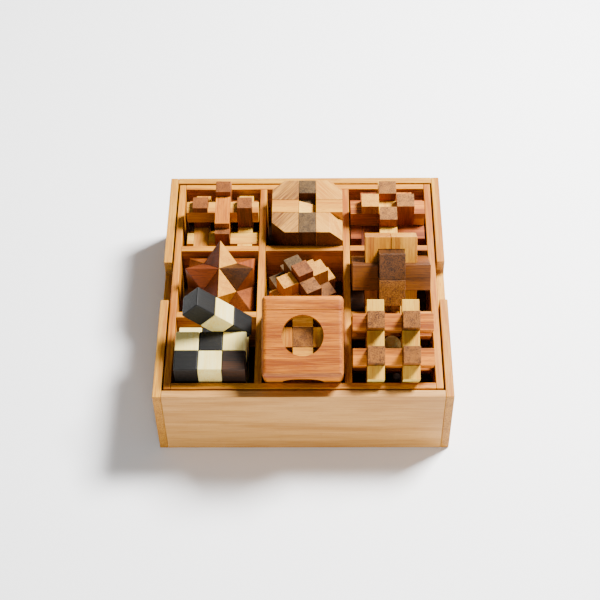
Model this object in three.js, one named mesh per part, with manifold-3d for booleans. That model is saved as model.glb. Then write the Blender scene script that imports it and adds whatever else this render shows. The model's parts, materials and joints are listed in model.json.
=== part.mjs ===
// A boxed set of nine interlocking wooden puzzles.
// Units are millimetres and +Z is up. The origin is at the bottom centre of the box, and -Y is the front.
import * as THREE from 'three';
import { mergeVertices } from 'three/addons/utils/BufferGeometryUtils.js';
import Module from 'manifold-3d';

const wasm = await Module();
wasm.setup();

// ---------------------------------------------------------------- driving dimensions
const BOX = 246; // outer footprint, square
const BOX_HEIGHT = 75;
const BOX_WALL = 7;
const BASE = 5; // base panel thickness
const TRAY_GAP = 1.5; // between the box and the tray
const TRAY_WALL = 6;
const TRAY_FLOOR = 5;
const FLOOR_TOP = 32; // top face of the tray's floor
const DIVIDER = 6; // divider thickness
const DIVIDER_AT = 37.17; // divider centre line, from the middle of the tray
const LAP_GAP = 0.1; // half-lap clearance in the dividers
const NOTCH_LENGTH = 42; // finger notch in each side wall
const NOTCH_DEPTH = 16;
const NOTCH_RADIUS = 5;
const FIT = 0.15; // clearance on each face between neighbouring puzzle pieces
const SEAT = 0.3; // gap under a leaning or loose piece

// ---------------------------------------------------------------- solids
const toSolid = (geometry) => {
  const plain = geometry.clone();
  plain.deleteAttribute('normal');
  plain.deleteAttribute('uv');
  const merged = mergeVertices(plain, 1e-4);
  const mesh = new wasm.Mesh({
    numProp: 3,
    vertProperties: new Float32Array(merged.attributes.position.array),
    triVerts: new Uint32Array(merged.index.array),
  });
  return new wasm.Manifold(mesh);
};

const toGeometry = (solid) => {
  const mesh = solid.getMesh();
  const geometry = new THREE.BufferGeometry();
  geometry.setAttribute('position', new THREE.BufferAttribute(new Float32Array(mesh.vertProperties), 3));
  geometry.setIndex(new THREE.BufferAttribute(new Uint32Array(mesh.triVerts), 1));
  geometry.computeVertexNormals();
  return geometry;
};

// A box from its lowest corner to its highest corner.
const block = (low, high) => {
  const size = high.map((value, k) => value - low[k]);
  const geometry = new THREE.BoxGeometry(...size);
  geometry.translate(...low.map((value, k) => value + size[k] / 2));
  return toSolid(geometry);
};

const cube = (centre, width) => block(centre.map((v) => v - width / 2), centre.map((v) => v + width / 2));

const join = (...solids) => solids.reduce((all, next) => all.add(next));

const cut = (solid, ...tools) => tools.reduce((rest, tool) => rest.subtract(tool), solid);

const rod = (radius, length, axis) => {
  const geometry = new THREE.CylinderGeometry(radius, radius, length, 48);
  if (axis === 'x') geometry.rotateZ(Math.PI / 2);
  if (axis === 'z') geometry.rotateX(Math.PI / 2);
  return toSolid(geometry);
};

// A stick along one axis: across holds its centre on the other two axes, in order.
const stick = (axis, across, width, from, to) => {
  const low = across.map((v) => v - width / 2);
  const high = across.map((v) => v + width / 2);
  const at = { x: 0, y: 1, z: 2 }[axis];
  low.splice(at, 0, from);
  high.splice(at, 0, to);
  return block(low, high);
};

// ---------------------------------------------------------------- woods
const wood = (color, roughness = 0.62) => new THREE.MeshStandardMaterial({ color, roughness, metalness: 0 });
const HONEY = () => wood(0xd9a762);
const GOLD = () => wood(0xdca557);
const PALE = () => wood(0xe8c88e);
const CREAM = () => wood(0xf0dfae);
const TAN = () => wood(0xd79a5a);
const ORANGE = () => wood(0xc9783a);
const RED = () => wood(0x9a4a26);
const BROWN = () => wood(0xa8714f);
const WALNUT = () => wood(0x6b4433);
const BLACK = () => wood(0x2b2624);

const root = new THREE.Group();

const place = (parent, name, solid, material) => {
  const mesh = new THREE.Mesh(toGeometry(solid), material);
  mesh.name = name;
  parent.add(mesh);
};

const puzzleGroup = (x, y, z, tiltX = 0, turnZ = 0) => {
  const group = new THREE.Group();
  group.position.set(x, y, z);
  group.rotation.set(tiltX, 0, turnZ, 'ZYX');
  root.add(group);
  return group;
};

const radians = THREE.MathUtils.degToRad;

// ---------------------------------------------------------------- outer box
const half = BOX / 2;
const inner = half - BOX_WALL;

const fingerNotch = () => {
  const reach = NOTCH_LENGTH / 2;
  const bottom = BOX_HEIGHT - NOTCH_DEPTH;
  const outline = new THREE.Shape();
  outline.moveTo(-reach, BOX_HEIGHT + 1);
  outline.lineTo(-reach, bottom + NOTCH_RADIUS);
  outline.absarc(-reach + NOTCH_RADIUS, bottom + NOTCH_RADIUS, NOTCH_RADIUS, Math.PI, 1.5 * Math.PI);
  outline.absarc(reach - NOTCH_RADIUS, bottom + NOTCH_RADIUS, NOTCH_RADIUS, -0.5 * Math.PI, 0);
  outline.lineTo(reach, BOX_HEIGHT + 1);
  outline.closePath();
  const geometry = new THREE.ExtrudeGeometry(outline, { depth: BOX, bevelEnabled: false, curveSegments: 6 });
  geometry.translate(0, 0, -half);
  geometry.rotateX(Math.PI / 2);
  geometry.rotateZ(Math.PI / 2);
  return toSolid(geometry);
};

const buildBox = () => {
  const notch = fingerNotch();
  const sideWall = (side) => {
    const faces = [side * inner, side * half].sort((a, b) => a - b);
    return cut(block([faces[0], -half, 0], [faces[1], half, BOX_HEIGHT]), notch);
  };
  place(root, 'box_left_wall', sideWall(-1), HONEY());
  place(root, 'box_right_wall', sideWall(1), HONEY());
  place(root, 'box_front_wall', block([-inner, -half, 0], [inner, -inner, BOX_HEIGHT]), HONEY());
  place(root, 'box_rear_wall', block([-inner, inner, 0], [inner, half, BOX_HEIGHT]), HONEY());
  place(root, 'box_base', block([-inner, -inner, 0], [inner, inner, BASE]), HONEY());
};

// ---------------------------------------------------------------- tray
const trayHalf = inner - TRAY_GAP;
const trayInner = trayHalf - TRAY_WALL;

const buildTray = () => {
  const z = [BASE, BOX_HEIGHT];
  place(root, 'tray_left_wall', block([-trayHalf, -trayHalf, z[0]], [-trayInner, trayHalf, z[1]]), GOLD());
  place(root, 'tray_right_wall', block([trayInner, -trayHalf, z[0]], [trayHalf, trayHalf, z[1]]), GOLD());
  place(root, 'tray_front_wall', block([-trayInner, -trayHalf, z[0]], [trayInner, -trayInner, z[1]]), GOLD());
  place(root, 'tray_rear_wall', block([-trayInner, trayInner, z[0]], [trayInner, trayHalf, z[1]]), GOLD());
  const panel = block([-trayInner, -trayInner, FLOOR_TOP - TRAY_FLOOR], [trayInner, trayInner, FLOOR_TOP]);
  place(root, 'tray_floor', panel, GOLD());
  buildDividers();
};

// Two dividers run each way and cross in half-laps: the lengthwise pair keeps its top half.
const buildDividers = () => {
  const middle = (FLOOR_TOP + BOX_HEIGHT) / 2;
  const reach = DIVIDER / 2;
  const slot = reach + LAP_GAP;
  for (const [side, sideName] of [[-1, 'left'], [1, 'right']]) {
    const x = side * DIVIDER_AT;
    const strip = block([x - reach, -trayInner, FLOOR_TOP], [x + reach, trayInner, BOX_HEIGHT]);
    const slots = [-1, 1].map((row) => block(
      [x - 2 * DIVIDER, row * DIVIDER_AT - slot, FLOOR_TOP - 1],
      [x + 2 * DIVIDER, row * DIVIDER_AT + slot, middle + LAP_GAP],
    ));
    place(root, `divider_${sideName}`, cut(strip, ...slots), GOLD());
  }
  for (const [side, sideName] of [[-1, 'front'], [1, 'rear']]) {
    const y = side * DIVIDER_AT;
    const strip = block([-trayInner, y - reach, FLOOR_TOP], [trayInner, y + reach, BOX_HEIGHT]);
    const slots = [-1, 1].map((column) => block(
      [column * DIVIDER_AT - slot, y - 2 * DIVIDER, middle - LAP_GAP],
      [column * DIVIDER_AT + slot, y + 2 * DIVIDER, BOX_HEIGHT + 1],
    ));
    place(root, `divider_${sideName}`, cut(strip, ...slots), GOLD());
  }
};

// ---------------------------------------------------------------- burrs made of six crosses
// Twelve sticks lie in six crossing pairs, one pair in each face plane of a cube.
// Neighbouring crosses meet in twelve cells, and each cross keeps half of every cell it meets.
const CROSS_FACES = [
  { name: 'right', plane: 0, side: 1 },
  { name: 'left', plane: 0, side: -1 },
  { name: 'rear', plane: 1, side: 1 },
  { name: 'front', plane: 1, side: -1 },
  { name: 'top', plane: 2, side: 1 },
  { name: 'bottom', plane: 2, side: -1 },
];

const AXES = ['x', 'y', 'z'];

const crossOfFace = (face, spacing, width, reach) => {
  const arms = [1, 2].map((step) => {
    const along = (face.plane + step) % 3;
    const across = [0, 1, 2].filter((k) => k !== along).map((k) => (k === face.plane ? face.side * spacing : 0));
    return stick(AXES[along], across, width, -reach, reach);
  });
  return join(...arms);
};

// The half cell that face A loses where it meets face B: the split lies across the third axis.
const lostHalf = (a, b, spacing, width) => {
  const centre = [0, 0, 0];
  centre[a.plane] = a.side * spacing;
  centre[b.plane] = b.side * spacing;
  const third = 3 - a.plane - b.plane;
  const sameSide = a.side === b.side;
  const keepsHigh = ((a.plane + 1) % 3 === b.plane) === sameSide;
  const over = width / 2 + FIT;
  const low = centre.map((v) => v - over);
  const high = centre.map((v) => v + over);
  if (keepsHigh) high[third] = centre[third] + FIT / 2;
  else low[third] = centre[third] - FIT / 2;
  return block(low, high);
};

// A cell listed in special, as face_other, is shared out in its own way.
const buildCrossBurr = (group, prefix, spacing, width, reach, woods, special = {}) => {
  for (const face of CROSS_FACES) {
    const neighbours = CROSS_FACES.filter((other) => other.plane !== face.plane);
    const lost = neighbours.map((other) => (
      special[`${face.name}_${other.name}`] ?? lostHalf(face, other, spacing, width)
    ));
    const solid = cut(crossOfFace(face, spacing, width, reach), ...lost);
    place(group, `${prefix}_${face.name}_cross`, solid, woods[face.name]);
  }
};

// Rear left: the sticks stand one and a half widths from the middle.
const SPREAD_WIDTH = 13.05;
const SPREAD_REACH = 32;
const buildSpreadBurr = () => {
  const group = puzzleGroup(-72.6, 72.4, FLOOR_TOP + SPREAD_REACH + SEAT);
  const woods = { top: TAN(), bottom: PALE(), left: BROWN(), right: RED(), front: PALE(), rear: RED() };
  const spacing = 1.5 * SPREAD_WIDTH;
  const far = SPREAD_REACH + 1;
  const under = spacing - SPREAD_WIDTH / 2 - FIT;
  // The top stick ends over the middle of the front post, and that post stops at the stick's centre line.
  const special = {
    top_front: block([-far, -far, 0], [far, -spacing + FIT / 2, far]),
    front_top: join(
      block([-far, -spacing - FIT / 2, under], [far, 0, far]),
      block([-far, -far, spacing], [far, 0, far]),
    ),
  };
  buildCrossBurr(group, 'spread_burr', spacing, SPREAD_WIDTH, SPREAD_REACH, woods, special);
};

// Rear right: the sticks stand one width from the middle, so they touch each other.
const CLOSE_PITCH = 15.6;
const CLOSE_REACH = 32.8;
const buildCloseBurr = () => {
  const group = puzzleGroup(74.2, 73.3, FLOOR_TOP + CLOSE_REACH + SEAT);
  const woods = { top: PALE(), bottom: ORANGE(), left: RED(), right: ORANGE(), front: BROWN(), rear: BROWN() };
  buildCrossBurr(group, 'close_burr', CLOSE_PITCH, CLOSE_PITCH - 2 * FIT, CLOSE_REACH, woods);
};

// ---------------------------------------------------------------- rear centre: chamfered block
const BLOCK_WIDTH = 62.6;
const BLOCK_HEIGHT = 60;
const BLOCK_CHAMFER = 11.5;
const KEY_WIDTH = 15.1; // centre column and cross stick
const RECESS = 8.4; // depth of the pocket in the middle
const buildChamferedBlock = () => {
  const group = puzzleGroup(2.7, 71.9, FLOOR_TOP + BLOCK_HEIGHT / 2 + SEAT);
  const h = BLOCK_WIDTH / 2;
  const v = BLOCK_HEIGHT / 2;
  const k = KEY_WIDTH / 2;
  const outline = new THREE.Shape();
  outline.moveTo(-h + BLOCK_CHAMFER, -h);
  outline.lineTo(h, -h);
  outline.lineTo(h, h - BLOCK_CHAMFER);
  outline.lineTo(h - BLOCK_CHAMFER, h);
  outline.lineTo(-h + BLOCK_CHAMFER, h);
  outline.lineTo(-h, h - BLOCK_CHAMFER);
  outline.lineTo(-h, -h + BLOCK_CHAMFER);
  outline.closePath();
  const prism = new THREE.ExtrudeGeometry(outline, { depth: BLOCK_HEIGHT, bevelEnabled: false });
  prism.translate(0, 0, -v);
  const slope = new THREE.BoxGeometry(BLOCK_CHAMFER * Math.SQRT2, h, BLOCK_CHAMFER * Math.SQRT2);
  slope.rotateY(Math.PI / 4);
  slope.translate(h, -h / 2 - k, v);
  const body = cut(toSolid(prism), toSolid(slope));
  const column = (from, to) => body.intersect(block([from, -h, -v], [to, h, v]));
  const stickTop = block([-h, -k, v - KEY_WIDTH], [h, k, v]);
  const stickPocket = block([-h - 1, -k - FIT, v - KEY_WIDTH - FIT], [h + 1, k + FIT, v + 1]);
  const pocket = block([-k - FIT, -k, v - RECESS], [k + FIT, 2.05 * k, v + 1]);
  const leftBlock = column(-h, -k - FIT).subtract(stickPocket);
  const rightBlock = column(k + FIT, h).subtract(stickPocket);
  const centreBlock = cut(column(-k, k), stickPocket, pocket);
  place(group, 'chamfered_block_left', leftBlock, PALE());
  place(group, 'chamfered_block_right', rightBlock, PALE());
  place(group, 'chamfered_block_centre', centreBlock, WALNUT());
  place(group, 'chamfered_block_cross_stick', stickTop.subtract(pocket), PALE());
  const wedge = new THREE.Shape();
  wedge.moveTo(-k + FIT, v - RECESS + FIT);
  wedge.lineTo(k - FIT, v - RECESS + FIT);
  wedge.lineTo(k - FIT, v - RECESS + 1.5);
  wedge.lineTo(-k + FIT, v - 1);
  wedge.closePath();
  const wedgeBody = new THREE.ExtrudeGeometry(wedge, { depth: KEY_WIDTH - 4 * FIT, bevelEnabled: false });
  wedgeBody.rotateX(Math.PI / 2);
  wedgeBody.translate(0, k - 2 * FIT, 0);
  place(group, 'chamfered_block_wedge', toSolid(wedgeBody), CREAM());
};

// ---------------------------------------------------------------- middle left: star
// Twelve spikes stand on the faces of a rhombic dodecahedron. Each of six alike pieces holds two
// neighbouring spikes, and the pieces meet in planes through the centre.
const STAR_UNIT = 14.5;
const STAR_PIECES = [
  { name: 'star_right', spikes: [[1, 0, 1], [1, 1, 0]], material: WALNUT() },
  { name: 'star_rear', spikes: [[0, 1, 1], [-1, 1, 0]], material: TAN() },
  { name: 'star_left', spikes: [[-1, 0, 1], [-1, -1, 0]], material: RED() },
  { name: 'star_front', spikes: [[0, -1, 1], [1, -1, 0]], material: PALE() },
  { name: 'star_lower_rear', spikes: [[1, 0, -1], [0, 1, -1]], material: ORANGE() },
  { name: 'star_lower_front', spikes: [[-1, 0, -1], [0, -1, -1]], material: RED() },
];

// A spike over one rhombic face, carried down towards the centre as a wedge.
const spike = ([x, y, z]) => {
  const face = new THREE.Vector3(x, y, z);
  const flat = AXES.findIndex((_, k) => [x, y, z][k] === 0);
  const used = [0, 1, 2].filter((k) => k !== flat);
  const point = (values) => new THREE.Vector3(...values).multiplyScalar(STAR_UNIT);
  const end = (k) => point([0, 1, 2].map((n) => (n === k ? 2 * face.getComponent(k) : 0)));
  const side = (s) => point([0, 1, 2].map((n) => (n === flat ? s : face.getComponent(n))));
  const tip = face.clone().multiplyScalar(2 * STAR_UNIT);
  const corners = [end(used[0]), side(1), end(used[1]), side(-1)];
  const core = new THREE.Vector3(0, 0, 0);
  const triangles = corners.flatMap((corner, k) => {
    const next = corners[(k + 1) % 4];
    return [[tip, corner, next], [core, next, corner]];
  });
  const centre = tip.clone().multiplyScalar(0.5);
  const positions = triangles.flatMap((triangle) => {
    const [p, q, r] = triangle;
    const normal = new THREE.Vector3().crossVectors(q.clone().sub(p), r.clone().sub(p));
    const outward = normal.dot(p.clone().sub(centre)) > 0;
    const ordered = outward ? [p, q, r] : [p, r, q];
    return ordered.flatMap((v) => v.toArray());
  });
  const geometry = new THREE.BufferGeometry();
  geometry.setAttribute('position', new THREE.BufferAttribute(new Float32Array(positions), 3));
  return toSolid(geometry);
};

const buildStar = () => {
  const group = puzzleGroup(-72.4, 1.8, 65.3, radians(7.3));
  for (const { name, spikes, material } of STAR_PIECES) {
    const [first, second] = spikes.map((values) => new THREE.Vector3(...values));
    const apart = first.add(second).normalize().multiplyScalar(FIT);
    const solid = join(...spikes.map(spike)).translate(apart.toArray());
    place(group, name, solid, material);
  }
};

// ---------------------------------------------------------------- middle centre: turned burr
// A cube of three cells each way without its corners, with a short stud in the middle of every face.
const KNOT_UNIT = 14.6;
const buildTurnedBurr = () => {
  const reach = 2 * KNOT_UNIT;
  const group = puzzleGroup(-1.3, 0.7, FLOOR_TOP + reach + SEAT, 0, radians(28.9));
  const layer = 1.5 * KNOT_UNIT;
  const cell = (x, y) => cube([x * KNOT_UNIT, y * KNOT_UNIT, 0], KNOT_UNIT - 2 * FIT);
  const key = stick('z', [0, 0], KNOT_UNIT - 2 * FIT, -reach, reach);
  place(group, 'turned_burr_key', key, BROWN());
  const sides = [
    { name: 'right', x: 1, y: 0, material: PALE() },
    { name: 'rear', x: 0, y: 1, material: WALNUT() },
    { name: 'left', x: -1, y: 0, material: PALE() },
    { name: 'front', x: 0, y: -1, material: BROWN() },
  ];
  const room = stick('z', [0, 0], KNOT_UNIT, -reach - 1, reach + 1);
  for (const { name, x, y, material } of sides) {
    const column = stick('z', [x * KNOT_UNIT, y * KNOT_UNIT], KNOT_UNIT - 2 * FIT, -layer, layer);
    const corner = cell(x - y, y + x);
    const bridge = cell(x - y / 2, y + x / 2);
    const stud = cube([x * 1.5 * KNOT_UNIT, y * 1.5 * KNOT_UNIT, 0], KNOT_UNIT - 2 * FIT);
    const next = stick('z', [-y * KNOT_UNIT, x * KNOT_UNIT], KNOT_UNIT, -layer - 1, layer + 1);
    place(group, `turned_burr_${name}`, cut(join(column, corner, bridge, stud), room, next), material);
  }
};

// ---------------------------------------------------------------- middle right: six-piece burr
// Three pairs of square sticks cross in the middle. The key is whole and the others are notched round it.
const BURR_UNIT = 11.1; // half the width of a stick
const BURR_REACH = 33;
const buildSixPieceBurr = () => {
  const u = BURR_UNIT;
  const group = puzzleGroup(74.3, -2, 87.5, radians(-39.1));
  const bar = (axis, across) => stick(axis, across, 2 * u - 2 * FIT, -BURR_REACH, BURR_REACH);
  const zone = (low, high) => block(low.map((v) => v * u - FIT), high.map((v) => v * u + FIT));
  const key = bar('y', [0, u]);
  const lower = bar('y', [0, -u]);
  const keyRoom = zone([-1, -4, 0], [1, 4, 2]);
  const waist = zone([-1, -1, -1], [1, 1, 1]);
  const lowerNotches = [zone([-1, -2, -1], [1, 2, 0]), waist];
  place(group, 'six_piece_burr_key', key, WALNUT());
  place(group, 'six_piece_burr_lower', cut(lower, ...lowerNotches), RED());
  for (const [side, name] of [[-1, 'left'], [1, 'right']]) {
    const post = bar('z', [side * u, 0]);
    const lowCross = zone([-1, -1, -2], [1, 1, -1]);
    place(group, `six_piece_burr_${name}_post`, cut(post, keyRoom, waist, lowCross), PALE());
  }
  for (const [side, name] of [[-1, 'front'], [1, 'rear']]) {
    const cross = bar('x', [side * u, 0]);
    const posts = [[-2, -1], [1, 2]].map(([from, to]) => zone([from, -1, -1], [to, 1, 1]));
    place(group, `six_piece_burr_${name}_bar`, cut(cross, keyRoom, waist, ...posts), side < 0 ? RED() : BROWN());
  }
};

// ---------------------------------------------------------------- front left: snake cube
const CUBELET = 19.6;
const SNAKE_CENTRE_X = -76.2;
const SNAKE_FRONT = -106.9;
const SNAKE_LIFT = radians(42.8); // how far the loose run is folded up
const buildSnakeCube = () => {
  const size = 3 * CUBELET;
  const bottom = FLOOR_TOP + SEAT;
  const left = SNAKE_CENTRE_X - size / 2;
  const right = SNAKE_CENTRE_X + size / 2;
  const back = SNAKE_FRONT + size;
  const whole = block([left, SNAKE_FRONT, bottom], [right, back, bottom + size]);
  const runPlace = block([left - 1, back - CUBELET, bottom + 2 * CUBELET], [right + 1, back + 1, bottom + size + 1]);
  place(root, 'snake_cube_body', whole.subtract(runPlace), CREAM());
  const swing = CUBELET / Math.SQRT2; // a turning cubelet's corner reaches this far
  const group = puzzleGroup(right - CUBELET / 2, back - CUBELET / 2, bottom + 2 * CUBELET + swing + FIT);
  group.rotation.set(0, SNAKE_LIFT, 0);
  const across = CUBELET / 2 - FIT;
  const run = block([-2.5 * CUBELET, -across, -CUBELET / 2], [CUBELET / 2, across, CUBELET / 2]);
  place(group, 'snake_cube_run', run, BLACK());
};

// ---------------------------------------------------------------- leaning puzzles in the front row
// A leaning puzzle rests on the front divider and on the inner edge of the tray's front wall.
const leaningCentre = (lean, below, ahead) => {
  const alongY = new THREE.Vector2(Math.cos(lean), Math.sin(lean));
  const alongZ = new THREE.Vector2(-Math.sin(lean), Math.cos(lean));
  const dividerEdge = new THREE.Vector2(-DIVIDER_AT - DIVIDER / 2, BOX_HEIGHT);
  const wallEdge = new THREE.Vector2(-trayInner, BOX_HEIGHT);
  const y = wallEdge.dot(alongY) + ahead + SEAT;
  const z = dividerEdge.dot(alongZ) + below + SEAT;
  return alongY.multiplyScalar(y).add(alongZ.multiplyScalar(z));
};

// Front centre: a cube case with a round window in each face and a burr inside.
const CASE_WIDTH = 66;
const CASE_WALL = 6;
const CASE_EDGE = 4.5; // rounding of the case's edges
const CAP_HEIGHT = 12;
const WINDOW_RADIUS = 16.85;
const CORE_UNIT = 16.6;
const CASE_LEAN = radians(27.9);

const roundedCube = () => {
  const h = CASE_WIDTH / 2;
  const r = CASE_EDGE;
  const outline = new THREE.Shape();
  outline.moveTo(-h + r, -h);
  outline.absarc(h - r, -h + r, r, -0.5 * Math.PI, 0);
  outline.absarc(h - r, h - r, r, 0, 0.5 * Math.PI);
  outline.absarc(-h + r, h - r, r, 0.5 * Math.PI, Math.PI);
  outline.absarc(-h + r, -h + r, r, Math.PI, 1.5 * Math.PI);
  outline.closePath();
  const options = { depth: CASE_WIDTH, bevelEnabled: false, curveSegments: 5 };
  const along = [0, 1, 2].map((k) => {
    const geometry = new THREE.ExtrudeGeometry(outline, options);
    geometry.translate(0, 0, -h);
    if (k === 1) geometry.rotateX(Math.PI / 2);
    if (k === 2) geometry.rotateY(Math.PI / 2);
    return toSolid(geometry);
  });
  return along[0].intersect(along[1]).intersect(along[2]);
};

const buildWindowedCube = () => {
  const h = CASE_WIDTH / 2;
  const centre = leaningCentre(CASE_LEAN, h, h);
  const group = puzzleGroup(0, centre.x, centre.y, CASE_LEAN);
  const seam = h - CAP_HEIGHT;
  const room = cube([0, 0, 0], CASE_WIDTH - 2 * CASE_WALL);
  const windows = AXES.map((axis) => rod(WINDOW_RADIUS, CASE_WIDTH + 2, axis));
  const shell = cut(roundedCube(), room, ...windows);
  const ahead = block([-h - 1, -h - 1, -h - 1], [h + 1, seam - FIT, h + 1]);
  const behind = block([-h - 1, seam + FIT, -h - 1], [h + 1, h + 1, h + 1]);
  place(group, 'windowed_cube_case', shell.intersect(ahead), TAN());
  place(group, 'windowed_cube_cap', shell.intersect(behind), TAN());
  const wide = 1.5 * CORE_UNIT;
  const thin = 0.5 * CORE_UNIT;
  const slabs = [0, 1, 2].map((k) => {
    const reach = [wide, wide, wide];
    reach[k] = thin;
    return block(reach.map((v) => -v), reach);
  });
  place(group, 'windowed_cube_core', join(...slabs), BROWN());
};

// Front right: a cage of twelve sticks with a loose ball.
const CAGE_SPACING = 14.4; // stick centre from the middle of the cage
const CAGE_WIDTH = 14.1;
const CAGE_REACH = 33.2;
const CAGE_LEAN = radians(27.4);
const CAGE_RAISE = 1.1; // keeps the rear posts clear of the divider
const BALL_RADIUS = 7.6;
const BALL_AT = [0, 0, -5];

const buildCage = () => {
  const s = CAGE_SPACING;
  const w = CAGE_WIDTH / 2;
  const centre = leaningCentre(CAGE_LEAN, s + w + CAGE_RAISE, CAGE_REACH);
  const group = puzzleGroup(73.6, centre.x, centre.y, CAGE_LEAN);
  const bar = (axis, across) => stick(axis, across, CAGE_WIDTH, -CAGE_REACH, CAGE_REACH);
  const posts = [-1, 1].flatMap((x) => [-1, 1].map((y) => ({ x, y })));
  // At each corner a post keeps its outer quarter, and the lattice keeps the other three.
  const quarter = (x, y, z, slack) => {
    const from = [x * (s - slack), y * (s - slack)];
    const to = [x * (s + w + 1), y * (s + w + 1)];
    const low = [0, 1].map((k) => Math.min(from[k], to[k]));
    const high = [0, 1].map((k) => Math.max(from[k], to[k]));
    return block([...low, z * s - w - FIT], [...high, z * s + w + FIT]);
  };
  for (const [z, name] of [[1, 'top'], [-1, 'bottom']]) {
    const bars = [-1, 1].flatMap((side) => [bar('x', [side * s, z * s]), bar('y', [side * s, z * s])]);
    const quarters = posts.map(({ x, y }) => quarter(x, y, z, 0));
    place(group, `cage_${name}_lattice`, cut(join(...bars), ...quarters), ORANGE());
  }
  const corner = (x, y, z) => {
    const cell = block(
      [x * s - w - 1, y * s - w - 1, z * s - w - FIT],
      [x * s + w + 1, y * s + w + 1, z * s + w + FIT],
    );
    return cell.subtract(quarter(x, y, z, -FIT));
  };
  for (const { x, y } of posts) {
    const name = `${y < 0 ? 'front' : 'rear'}_${x < 0 ? 'left' : 'right'}`;
    const post = cut(bar('z', [x * s, y * s]), corner(x, y, 1), corner(x, y, -1));
    place(group, `cage_${name}_post`, post, BROWN());
  }
  const ball = new THREE.SphereGeometry(BALL_RADIUS, 24, 14);
  ball.translate(...BALL_AT);
  place(group, 'cage_ball', toSolid(ball), CREAM());
};

buildBox();
buildTray();
buildSpreadBurr();
buildChamferedBlock();
buildCloseBurr();
buildStar();
buildTurnedBurr();
buildSixPieceBurr();
buildSnakeCube();
buildWindowedCube();
buildCage();

export default root;
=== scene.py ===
"""Looks for a boxed set of nine wooden puzzles: woods, separate sticks and cubelets, floor, light and camera.

Sizes are in metres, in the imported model's frame: +Z is up and -Y is the front.
"""
import itertools
import json
import math

import bmesh
import bpy
from mathutils import Euler, Matrix, Vector


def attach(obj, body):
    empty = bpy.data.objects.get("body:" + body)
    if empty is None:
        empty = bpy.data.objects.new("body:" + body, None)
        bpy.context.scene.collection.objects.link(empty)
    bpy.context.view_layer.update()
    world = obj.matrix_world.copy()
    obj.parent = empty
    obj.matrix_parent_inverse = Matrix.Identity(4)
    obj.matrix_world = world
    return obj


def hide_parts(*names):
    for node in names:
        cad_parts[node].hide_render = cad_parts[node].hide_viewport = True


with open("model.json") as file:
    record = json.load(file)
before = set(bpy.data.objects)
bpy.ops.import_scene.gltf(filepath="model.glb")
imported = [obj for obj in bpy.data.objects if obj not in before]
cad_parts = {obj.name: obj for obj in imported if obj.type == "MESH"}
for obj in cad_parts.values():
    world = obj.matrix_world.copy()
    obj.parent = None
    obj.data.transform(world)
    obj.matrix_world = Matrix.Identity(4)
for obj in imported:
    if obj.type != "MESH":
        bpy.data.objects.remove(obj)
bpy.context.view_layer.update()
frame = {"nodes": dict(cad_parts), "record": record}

# ---------------------------------------------------------------- sizes shared with the CAD source
MM = 0.001
SEAM = 0.05 * MM  # half the gap left between two pieces cut from one node
SPREAD_WIDTH = 13.05 * MM
CLOSE_WIDTH = 15.3 * MM
CUBELET = 19.6 * MM
CORE_UNIT = 16.6 * MM
CAGE_SPACING = 14.4 * MM
CAGE_WIDTH = 14.1 * MM
CAGE_REACH = 33.2 * MM
EDGE_BOX = 0.7 * MM  # edge rounding of the box and the tray
EDGE_PUZZLE = 0.4 * MM
EDGE_CUBELET = 0.9 * MM
EDGE_SEGMENTS = 2
EDGE_ANGLE = math.radians(30)  # edges sharper than this are rounded
FACING_WEIGHT = 100  # how strongly large faces set the shading
WELD_GAP = 0.005 * MM  # corners closer than this are the same corner
FLAT_ANGLE = math.radians(0.5)  # faces that meet flatter than this are one face

AXES = {"x": Vector((1, 0, 0)), "y": Vector((0, 1, 0)), "z": Vector((0, 0, 1))}


class Place:
    """Where a puzzle stands: its centre and the one angle it is turned by, about a named axis."""

    def __init__(self, x, y, z, axis="x", degrees=0.0):
        self.centre = Vector((x, y, z)) * MM
        self.angles = Vector(AXES[axis]) * math.radians(degrees)
        self.turn = Euler(self.angles).to_matrix()
        self.matrix = Matrix.Translation(self.centre) @ self.turn.to_4x4()


UPRIGHT = Place(0, 0, 0)
SPREAD = Place(-72.6, 72.4, 64.3)
BLOCK = Place(2.7, 71.9, 62.3)
BLOCK_LEFT_GRAIN = Place(2.7, 71.9, 62.3, "z", 52)
BLOCK_RIGHT_GRAIN = Place(2.7, 71.9, 62.3, "z", -50)
CLOSE = Place(74.2, 73.3, 65.1)
STAR = Place(-72.4, 1.8, 65.3, "x", 7.3)
TURNED = Place(-1.3, 0.7, 61.5, "z", 28.9)
SIX_PIECE = Place(74.3, -2, 87.5, "x", -39.1)
SNAKE = Place(-76.2, -77.5, 61.7)
SNAKE_RUN = Place(-56.6, -57.9, 85.51, "y", 42.8)
WINDOWED = Place(0, -79.69, 91.75, "x", 27.9)
CAGE = Place(73.6, -74.8, 82.79, "x", 27.4)


# ---------------------------------------------------------------- woods
# The view transform pales strong oranges, so each of red, green and blue is raised to a power,
# blue most, and the result is darkened.
WOOD_DEPTH = (1.20, 1.24, 1.70)
WOOD_SHADE = 0.66

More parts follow.
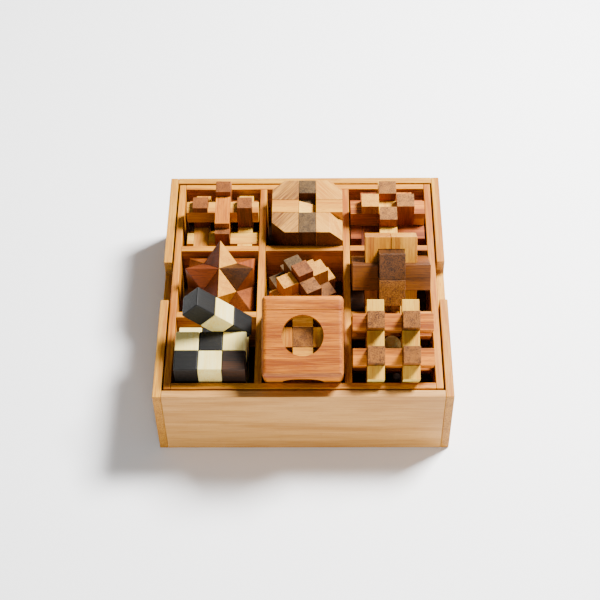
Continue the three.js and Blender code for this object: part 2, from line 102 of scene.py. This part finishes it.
# name: side grain light and dark, then end grain light and dark
WOODS = {
    "honey": ((234, 180, 96), (188, 124, 52), (206, 152, 88), (150, 102, 52)),
    "front": ((220, 172, 132), (192, 142, 104), (182, 136, 94), (144, 100, 64)),
    "gold": ((234, 168, 70), (178, 108, 36), (210, 146, 66), (152, 94, 38)),
    "streaky": ((226, 170, 110), (112, 66, 36), (112, 64, 38), (68, 38, 22)),
    "plain": ((240, 186, 120), (204, 140, 80), (128, 74, 42), (82, 46, 26)),
    "pale": ((236, 176, 92), (192, 124, 54), (234, 176, 98), (184, 122, 58)),
    "yellow": ((250, 204, 116), (222, 156, 74), (255, 238, 166), (242, 206, 120)),
    "cream": ((255, 246, 204), (254, 230, 166), (255, 242, 190), (250, 220, 150)),
    "tan": ((190, 116, 60), (134, 70, 32), (172, 112, 66), (118, 68, 38)),
    "orange": ((184, 102, 42), (118, 58, 22), (160, 98, 52), (100, 56, 28)),
    "amber": ((232, 152, 60), (156, 86, 28), (196, 122, 54), (126, 70, 28)),
    "russet": ((196, 108, 42), (134, 66, 22), (176, 124, 80), (100, 62, 38)),
    "red": ((144, 74, 30), (78, 34, 14), (124, 68, 40), (74, 36, 20)),
    "brown": ((150, 94, 52), (88, 52, 28), (166, 112, 72), (84, 50, 32)),
    "pink": ((166, 92, 42), (104, 54, 24), (158, 100, 66), (98, 58, 38)),
    "walnut": ((108, 68, 48), (52, 30, 22), (122, 80, 60), (54, 34, 26)),
    "grey": ((130, 84, 58), (84, 52, 36), (118, 94, 86), (68, 50, 44)),
    "black": ((22, 19, 20), (9, 8, 8), (26, 23, 23), (9, 8, 8)),
    "black_streaked": ((82, 52, 34), (10, 8, 8), (26, 23, 23), (9, 8, 8)),
}

# widths across the grain, and how many times as long each thing is along it
BAND = 13 * MM
FIBRE = 1.0 * MM
PORE = 0.6 * MM
SPECKLE = 0.8 * MM
BLOTCH = 0.5 * BAND
BAND_STRETCH = 14
FIBRE_STRETCH = 28
PORE_STRETCH = 11

BAND_SHARE = 0.62  # the side grain's tone is this much bands and the rest fibres
FIBRE_SHARE = 0.38
SPECKLE_SHARE = 0.7  # the end grain's tone is this much speckle and the rest blotches
BLOTCH_SHARE = 0.3
PORE_SHADE = 0.6  # how far a pore darkens the side grain
RELIEF_SHARE = 0.5  # fibres and pores count alike in the surface's relief

# the part of each noise that is stretched over 0 to 1; a pore is where its noise is low
TONE_SPAN = (0.40, 0.60)
PORE_SPAN = (0.42, 0.30)
GRIT_SPAN = (0.39, 0.57)
END_SPAN = (0.60, 0.80)  # how squarely a face cuts the grain before it shows end grain

ROUGH_SMOOTHEST = 0.42
ROUGH_ROUGHEST = 0.62
SPECULAR = 0.22
BUMP_STRENGTH = 0.4
BUMP_DISTANCE = 0.4 * MM

SHIFT = 0.037  # each next numbered piece takes its grain this much further into the same wood
SHIFT_WAY = (1, -0.7, 0.4)


def colour(red, green, blue):
    """An sRGB colour from 0 to 255 as the linear colour that a shader takes, made deeper and warmer."""
    values = [v / 255 for v in (red, green, blue)]
    linear = [v / 12.92 if v <= 0.04045 else ((v + 0.055) / 1.055) ** 2.4 for v in values]
    return tuple(WOOD_SHADE * v ** depth for v, depth in zip(linear, WOOD_DEPTH)) + (1.0,)


class Shader:
    """A material's node tree, with short ways to add nodes and join them."""

    def __init__(self, name):
        self.material = bpy.data.materials.new(name)
        self.material.use_nodes = True
        self.tree = self.material.node_tree
        self.surface = self.tree.nodes["Principled BSDF"]

    def add(self, kind, inputs=(), **settings):
        node = self.tree.nodes.new(kind)
        for key, value in settings.items():
            setattr(node, key, value)
        for key, value in dict(inputs).items():
            self.feed(node.inputs[key], value)
        return node

    def feed(self, socket, value):
        if isinstance(value, bpy.types.NodeSocket):
            self.tree.links.new(value, socket)
        else:
            socket.default_value = value

    def math(self, operation, first, second=0.0):
        return self.add("ShaderNodeMath", {0: first, 1: second}, operation=operation).outputs[0]

    def blend(self, first, first_share, second, second_share):
        """The sum of two values, each times its share."""
        return self.math("ADD", self.math("MULTIPLY", first, first_share),
                         self.math("MULTIPLY", second, second_share))

    def spread(self, value, span):
        """Stretches the part of a value inside the span over 0 to 1."""
        inputs = {"Value": value, "From Min": span[0], "From Max": span[1]}
        return self.add("ShaderNodeMapRange", inputs).outputs["Result"]

    def mix(self, factor, first, second):
        node = self.add("ShaderNodeMix", data_type="RGBA")
        for key, value in ((0, factor), (6, first), (7, second)):
            self.feed(node.inputs[key], value)
        return node.outputs[2]

    def noise(self, where, detail=3.0, distortion=0.0):
        inputs = {"Vector": where, "Scale": 1.0, "Detail": detail, "Distortion": distortion}
        return self.add("ShaderNodeTexNoise", inputs).outputs["Fac"]


class Grain:
    """A shader's noises, laid along the grain in the puzzle's own coordinates."""

    def __init__(self, shader, source, place, axis, number):
        self.shader = shader
        self.coordinates = source.outputs["Object"]
        self.place = place
        self.axis = AXES[axis]
        self.shift = Vector([part * SHIFT * number for part in SHIFT_WAY])

    def noise(self, width, stretch=1, **settings):
        """A noise whose marks are this wide across the grain and `stretch` times as long along it."""
        scale = Vector((width, width, width)) + self.axis * (stretch * width - width)
        centre = self.place.centre + self.place.turn @ self.shift
        inputs = {
            "Vector": self.coordinates,
            "Location": centre,
            "Rotation": self.place.angles,
            "Scale": scale,
        }
        where = self.shader.add("ShaderNodeMapping", inputs, vector_type="TEXTURE").outputs[0]
        return self.shader.noise(where, **settings)


def end_grain_mask(shader, source, place, axis):
    """1 where a face cuts across the grain, 0 where it runs along it."""
    inputs = {0: source.outputs["Normal"], 1: place.turn @ AXES[axis]}
    facing = shader.add("ShaderNodeVectorMath", inputs, operation="DOT_PRODUCT")
    return shader.spread(shader.math("ABSOLUTE", facing.outputs["Value"]), END_SPAN)


def finish_surface(shader, fibres, pores):
    """Fibres and pores as a fine relief, and fibres as an uneven gloss."""
    raised = shader.math("MULTIPLY", fibres, RELIEF_SHARE)
    height = shader.math("SUBTRACT", raised, shader.math("MULTIPLY", pores, RELIEF_SHARE))
    inputs = {"Strength": BUMP_STRENGTH, "Distance": BUMP_DISTANCE, "Height": height}
    bump = shader.add("ShaderNodeBump", inputs)
    shader.feed(shader.surface.inputs["Normal"], bump.outputs[0])
    inputs = {"Value": fibres, "To Min": ROUGH_SMOOTHEST, "To Max": ROUGH_ROUGHEST}
    gloss = shader.add("ShaderNodeMapRange", inputs)
    shader.feed(shader.surface.inputs["Roughness"], gloss.outputs["Result"])
    shader.surface.inputs["Specular IOR Level"].default_value = SPECULAR


made_woods = {}


def wood(kind, axis, place, number):
    """A procedural wood: bands, fibres and pores along the grain, speckle where the grain ends."""
    key = (kind, axis, place, number)
    if key in made_woods:
        return made_woods[key]
    shader = Shader(f"{kind}_{axis}_{len(made_woods)}")
    light, dark, end_light, end_dark = (colour(*value) for value in WOODS[kind])
    source = shader.add("ShaderNodeTexCoord")
    grain = Grain(shader, source, place, axis, number)
    bands = grain.noise(BAND, BAND_STRETCH, detail=4.0, distortion=0.8)
    fibres = grain.noise(FIBRE, FIBRE_STRETCH, detail=4.0)
    pores = shader.spread(grain.noise(PORE, PORE_STRETCH, detail=1.0), PORE_SPAN)
    speckle = grain.noise(SPECKLE, detail=2.0)
    blotch = grain.noise(BLOTCH, detail=2.0)

    tone = shader.blend(bands, BAND_SHARE, fibres, FIBRE_SHARE)
    side = shader.mix(shader.spread(tone, TONE_SPAN), dark, light)
    side = shader.mix(shader.math("MULTIPLY", pores, PORE_SHADE), side, dark)
    grit = shader.blend(speckle, SPECKLE_SHARE, blotch, BLOTCH_SHARE)
    end = shader.mix(shader.spread(grit, GRIT_SPAN), end_dark, end_light)
    base = shader.mix(end_grain_mask(shader, source, place, axis), side, end)
    shader.feed(shader.surface.inputs["Base Color"], base)
    finish_surface(shader, fibres, pores)
    made_woods[key] = shader.material
    return shader.material


# ---------------------------------------------------------------- pieces
nodes = frame["nodes"]
bodies = frame["record"]["behaviour"]["bodies"]
body_of = {node: body for body, members in bodies.items() for node in members}


def round_edges(piece, width):
    bevel = piece.modifiers.new("edges", "BEVEL")
    bevel.width = width
    bevel.segments = EDGE_SEGMENTS
    bevel.limit_method = "ANGLE"
    bevel.angle_limit = EDGE_ANGLE
    facing = piece.modifiers.new("facing", "WEIGHTED_NORMAL")
    facing.weight = FACING_WEIGHT


def dress(node, kind, grain, place, edge=EDGE_PUZZLE, number=0):
    """Gives a CAD node its wood and softened edges; the number keeps like pieces from matching."""
    piece = nodes[node]
    piece.data.materials.clear()
    piece.data.materials.append(wood(kind, grain, place, number))
    weld = piece.modifiers.new("weld", "WELD")
    weld.merge_threshold = WELD_GAP
    flats = piece.modifiers.new("flats", "DECIMATE")
    flats.decimate_type = "DISSOLVE"
    flats.angle_limit = FLAT_ANGLE
    round_edges(piece, edge)


def add_piece(mesh_maker, name, node, kind, grain, place, edge, number):
    """Adds a new visible piece, made by mesh_maker, that stands for a CAD node."""
    mesh = bpy.data.meshes.new(name)
    shape = bmesh.new()
    mesh_maker(shape)
    bmesh.ops.recalc_face_normals(shape, faces=shape.faces)
    shape.to_mesh(mesh)
    shape.free()
    if mesh.has_custom_normals:
        mesh.attributes.remove(mesh.attributes["custom_normal"])
    mesh.shade_flat()
    piece = bpy.data.objects.new(name, mesh)
    bpy.context.collection.objects.link(piece)
    mesh.materials.append(wood(kind, grain, place, number))
    round_edges(piece, edge)
    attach(piece, body_of[node])
    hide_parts(node)


def cut_from(node, place, planes):
    """Copies a node's solid and keeps the side of each plane that its normal points away from."""

    def make(shape):
        shape.from_mesh(nodes[node].data)
        bmesh.ops.remove_doubles(shape, verts=shape.verts, dist=WELD_GAP)
        for offset, normal in planes:
            point = place.matrix @ (normal * offset)
            everything = shape.verts[:] + shape.edges[:] + shape.faces[:]
            bmesh.ops.bisect_plane(
                shape, geom=everything, plane_co=point, plane_no=place.turn @ normal, clear_outer=True
            )
            rim = [edge for edge in shape.edges if edge.is_boundary]
            bmesh.ops.holes_fill(shape, edges=rim, sides=0)
        bmesh.ops.dissolve_limit(shape, angle_limit=FLAT_ANGLE, verts=shape.verts, edges=shape.edges)

    return make


def boxes(place, spans):
    """Builds boxes from (lowest corner, highest corner) pairs in the puzzle's own frame."""

    def make(shape):
        for low, high in spans:
            low, high = Vector(low), Vector(high)
            size = Matrix.Diagonal((*(high - low), 1))
            matrix = place.matrix @ Matrix.Translation((low + high) / 2) @ size
            bmesh.ops.create_cube(shape, size=1, matrix=matrix)

    return make


# ---------------------------------------------------------------- box and tray
def dress_box():
    for number, side in enumerate(("left", "right")):
        dress(f"box_{side}_wall", "honey", "y", UPRIGHT, EDGE_BOX, number)
        dress(f"tray_{side}_wall", "gold", "y", UPRIGHT, EDGE_BOX, number + 2)
        dress(f"divider_{side}", "gold", "y", UPRIGHT, EDGE_PUZZLE, number + 4)
    dress("box_front_wall", "front", "x", UPRIGHT, EDGE_BOX, 6)
    dress("box_rear_wall", "honey", "x", UPRIGHT, EDGE_BOX, 7)
    for number, side in enumerate(("front", "rear")):
        dress(f"tray_{side}_wall", "gold", "x", UPRIGHT, EDGE_BOX, number + 8)
        dress(f"divider_{side}", "gold", "x", UPRIGHT, EDGE_PUZZLE, number + 10)
    dress("box_base", "honey", "x", UPRIGHT, EDGE_BOX, 12)
    # The tray floor's dark walnut wood is partly painted shade: it darkens the floor under the puzzles, where
    # the compartments lie in shade.
    dress("tray_floor", "walnut", "x", UPRIGHT, EDGE_PUZZLE, 13)


# ---------------------------------------------------------------- burrs of crossing sticks
# face: the wood of the stick that runs through, its axis, the wood of the crossing stick, its axis
SPREAD_STICKS = {
    "top": ("amber", "y", "pale", "x"),
    "bottom": ("pale", "y", "pale", "x"),
    "rear": ("pink", "z", "tan", "x"),
    "front": ("pink", "z", "yellow", "x"),
    "left": ("pink", "z", "pale", "y"),
    "right": ("pink", "z", "yellow", "y"),
}
CLOSE_STICKS = {
    "top": ("yellow", "y", "amber", "x"),
    "bottom": ("cream", "y", "orange", "x"),
    "rear": ("russet", "z", "orange", "x"),
    "front": ("russet", "z", "orange", "x"),
    "left": ("pale", "z", "orange", "y"),
    "right": ("russet", "z", "amber", "y"),
}


def build_crossing_sticks(prefix, place, width, sticks):
    """Shows each cross as the stick that runs through and the two ends of the one that it crosses."""
    half = width / 2
    for number, (face, (through, along, crossing, across)) in enumerate(sticks.items()):
        node = f"{prefix}_{face}_cross"
        step = AXES[across]
        middle = cut_from(node, place, [(half, step), (half, -step)])
        add_piece(middle, f"{node}_through", node, through, along, place, EDGE_PUZZLE, number)
        for name, way in (("high", step), ("low", -step)):
            end = cut_from(node, place, [(-half - SEAM, -way)])
            add_piece(end, f"{node}_{name}_end", node, crossing, across, place, EDGE_PUZZLE, number + 6)


# ---------------------------------------------------------------- block, star, turned and six-piece burrs
def dress_block():
    dress("chamfered_block_left", "streaky", "x", BLOCK_LEFT_GRAIN)
    dress("chamfered_block_right", "plain", "x", BLOCK_RIGHT_GRAIN)
    dress("chamfered_block_centre", "grey", "z", BLOCK)
    dress("chamfered_block_cross_stick", "pale", "x", BLOCK, number=1)
    dress("chamfered_block_wedge", "yellow", "x", BLOCK)


def build_star():
    """Each half of a spike can be its own wood, and each node's level spike is cut from its upper one."""
    right = Vector((1, 0, 0))
    for node, outward in (("star_rear", Vector((-1, 0, -1))), ("star_front", Vector((1, 0, -1)))):
        level = outward.normalized()
        halves = {"low": ([(0, right), (0, level)], "red"), "high": ([(0, -right), (0, level)], "pale")}
        halves["level"] = ([(0, -level)], "orange")
        for half, (planes, kind) in halves.items():
            add_piece(cut_from(node, STAR, planes), f"{node}_{half}", node, kind, "z", STAR, EDGE_PUZZLE, 3)
    slope = Vector((1, 0, -1)).normalized()
    for half, away, kind in (("upper", slope, "walnut"), ("outer", -slope, "orange")):
        make = cut_from("star_right", STAR, [(0, away)])
        add_piece(make, f"star_right_{half}", "star_right", kind, "y", STAR, EDGE_PUZZLE, 4)
    dress("star_left", "red", "x", STAR, number=1)
    dress("star_lower_front", "orange", "x", STAR)
    dress("star_lower_rear", "orange", "y", STAR)


def dress_turned_burr():
    dress("turned_burr_key", "pink", "z", TURNED)
    dress("turned_burr_right", "pale", "z", TURNED, number=1)
    dress("turned_burr_left", "pale", "z", TURNED, number=2)
    dress("turned_burr_front", "brown", "z", TURNED)
    dress("turned_burr_rear", "grey", "z", TURNED)


def dress_six_piece_burr():
    dress("six_piece_burr_key", "walnut", "y", SIX_PIECE)
    dress("six_piece_burr_lower", "brown", "y", SIX_PIECE)
    dress("six_piece_burr_left_post", "gold", "z", SIX_PIECE, number=1)
    dress("six_piece_burr_right_post", "pale", "z", SIX_PIECE, number=2)
    dress("six_piece_burr_front_bar", "brown", "x", SIX_PIECE, number=1)
    dress("six_piece_burr_rear_bar", "brown", "x", SIX_PIECE, number=2)


# ---------------------------------------------------------------- snake cube
def cubelet_kind(column, row, layer):
    """Woods alternate from cubelet to cubelet; the front right one shows a brown streak."""
    if (column, row, layer) == (2, 0, 2):
        return "black_streaked"
    return "cream" if (column + row + layer) % 2 else "black"


def build_snake():
    """The rear upper row of three is the run that has been turned out of the cube."""
    reach = Vector((1, 1, 1)) * (CUBELET / 2 - SEAM)
    for column, row, layer in itertools.product(range(3), repeat=3):
        if row == 2 and layer == 2:
            node, place, cell = "snake_cube_run", SNAKE_RUN, (column - 2, 0, 0)
        else:
            node, place, cell = "snake_cube_body", SNAKE, (column - 1, row - 1, layer - 1)
        centre = Vector(cell) * CUBELET
        make = boxes(place, [(centre - reach, centre + reach)])
        kind = cubelet_kind(column, row, layer)
        grain = "xy"[(column + row) % 2]
        name = f"snake_cubelet_{column}{row}{layer}"
        add_piece(make, name, node, kind, grain, place, EDGE_CUBELET, column + 3 * row)


# ---------------------------------------------------------------- windowed cube
def build_core():
    """The burr in the window: an end-grain square in the middle of each face, and pale cells round it."""
    reach = Vector((1, 1, 1)) * (CORE_UNIT / 2 - SEAM)
    cells = [Vector(steps) for steps in itertools.product((-1, 0, 1), repeat=3)]
    for number, cell in enumerate(cells):
        used = [axis for axis, step in zip("xyz", cell) if step]
        if len(used) not in (1, 2):
            continue
        kind = "brown" if len(used) == 1 else ("tan", "pale")[number % 2]
        grain = used[0] if len(used) == 1 else next(axis for axis in "xyz" if axis not in used)
        make = boxes(WINDOWED, [(cell * CORE_UNIT - reach, cell * CORE_UNIT + reach)])
        name = f"windowed_core_cell_{number}"
        add_piece(make, name, "windowed_cube_core", kind, grain, WINDOWED, EDGE_PUZZLE, number)


def dress_windowed_cube():
    dress("windowed_cube_case", "amber", "x", WINDOWED)
    dress("windowed_cube_cap", "amber", "x", WINDOWED, number=2)
    build_core()


# ---------------------------------------------------------------- cage
def cage_stick(axis, across, breaks):
    """The boxes of one stick along an axis; breaks are the spans where a post covers it."""
    half = CAGE_WIDTH / 2
    ends = [-CAGE_REACH] + [edge for span in breaks for edge in span] + [CAGE_REACH]
    at = "xyz".index(axis)
    spans = []
    for start, stop in zip(ends[0::2], ends[1::2]):
        low = [value - half for value in across]
        high = [value + half for value in across]
        low.insert(at, start)
        high.insert(at, stop)
        spans.append((low, high))
    return boxes(CAGE, spans)


def show_cage_stick(node, name, kind, axis, across, breaks, number):
    add_piece(cage_stick(axis, across, breaks), name, node, kind, axis, CAGE, EDGE_PUZZLE, number)


def build_cage():
    """Four posts, and four level sticks in each lattice that stop at the posts."""
    reach = CAGE_WIDTH / 2 + SEAM
    covered = [(side * CAGE_SPACING - reach, side * CAGE_SPACING + reach) for side in (-1, 1)]
    columns = (("left", -CAGE_SPACING), ("right", CAGE_SPACING))
    rows = (("front", -CAGE_SPACING), ("rear", CAGE_SPACING))
    levels = (("top", CAGE_SPACING), ("bottom", -CAGE_SPACING))
    for number, (column, x) in enumerate(columns):
        for row, y in rows:
            node = f"cage_{row}_{column}_post"
            show_cage_stick(node, f"{node}_stick", "brown", "z", (x, y), [], number)
        for level, z in levels:
            name = f"cage_{level}_{column}_stick"
            show_cage_stick(f"cage_{level}_lattice", name, "yellow", "y", (x, z), covered, number)
    for number, (row, y) in enumerate(rows):
        for level, z in levels:
            name = f"cage_{level}_{row}_stick"
            show_cage_stick(f"cage_{level}_lattice", name, "amber", "x", (y, z), covered, number)
    dress("cage_ball", "cream", "z", CAGE)


# ---------------------------------------------------------------- floor, light and camera
FLOOR_REACH = 6
FLOOR_DROP = 0.2 * MM  # keeps the floor just clear of the box's underside
FLOOR_WHITE = 0.9
FLOOR_ROUGHNESS = 0.9
WORLD_STRENGTH = 0.36
LIGHTS = {  # name: place, target, size, power
    "key": ((0.80, 0.50, 1.30), (0, 0, 0.05), 0.45, 150),
    "front_fill": ((0.15, -1.5, 0.22), (0, 0, 0.04), 0.5, 22),
}
CAMERA_PLACE = (0.01539, -0.78591, 1.02059)
CAMERA_ANGLES = (51.045, -1.397, -1.246)  # degrees: down, to the right, and rolled
CAMERA_LENS = 85.19
CAMERA_SENSOR = 36


def build_stage():
    floor_mesh = bpy.data.meshes.new("floor")
    floor_shape = bmesh.new()
    bmesh.ops.create_grid(floor_shape, x_segments=1, y_segments=1, size=FLOOR_REACH)
    floor_shape.to_mesh(floor_mesh)
    floor_shape.free()
    floor = bpy.data.objects.new("floor", floor_mesh)
    floor.location.z = -FLOOR_DROP
    bpy.context.collection.objects.link(floor)
    paper = Shader("floor_paper")
    paper.surface.inputs["Base Color"].default_value = (FLOOR_WHITE, FLOOR_WHITE, FLOOR_WHITE, 1)
    paper.surface.inputs["Roughness"].default_value = FLOOR_ROUGHNESS
    floor_mesh.materials.append(paper.material)


def add_light(name, place, target, size, power):
    data = bpy.data.lights.new(name, "AREA")
    data.size = size
    data.energy = power
    light = bpy.data.objects.new(name, data)
    light.location = place
    light.rotation_euler = (Vector(target) - Vector(place)).to_track_quat("-Z", "Y").to_euler()
    bpy.context.collection.objects.link(light)


def build_light():
    world = bpy.data.worlds.new("studio")
    world.use_nodes = True
    background = world.node_tree.nodes["Background"]
    background.inputs["Color"].default_value = (1, 1, 1, 1)
    background.inputs["Strength"].default_value = WORLD_STRENGTH
    bpy.context.scene.world = world
    for name, settings in LIGHTS.items():
        add_light(name, *settings)


def build_camera():
    pitch, yaw, roll = (math.radians(value) for value in CAMERA_ANGLES)
    reach = math.cos(pitch)
    forward = Vector((math.sin(yaw) * reach, math.cos(yaw) * reach, -math.sin(pitch)))
    level_right = Vector((math.cos(yaw), -math.sin(yaw), 0))
    level_up = level_right.cross(forward)
    right = math.cos(roll) * level_right + math.sin(roll) * level_up
    up = math.cos(roll) * level_up - math.sin(roll) * level_right
    data = bpy.data.cameras.new("camera")
    data.lens = CAMERA_LENS
    data.sensor_width = CAMERA_SENSOR
    camera = bpy.data.objects.new("camera", data)
    turn = Matrix((right, up, -forward)).transposed().to_4x4()
    camera.matrix_world = Matrix.Translation(CAMERA_PLACE) @ turn
    bpy.context.collection.objects.link(camera)
    bpy.context.scene.camera = camera


dress_box()
build_crossing_sticks("spread_burr", SPREAD, SPREAD_WIDTH, SPREAD_STICKS)
build_crossing_sticks("close_burr", CLOSE, CLOSE_WIDTH, CLOSE_STICKS)
dress_block()
build_star()
dress_turned_burr()
dress_six_piece_burr()
build_snake()
dress_windowed_cube()
build_cage()
build_stage()
build_light()
build_camera()
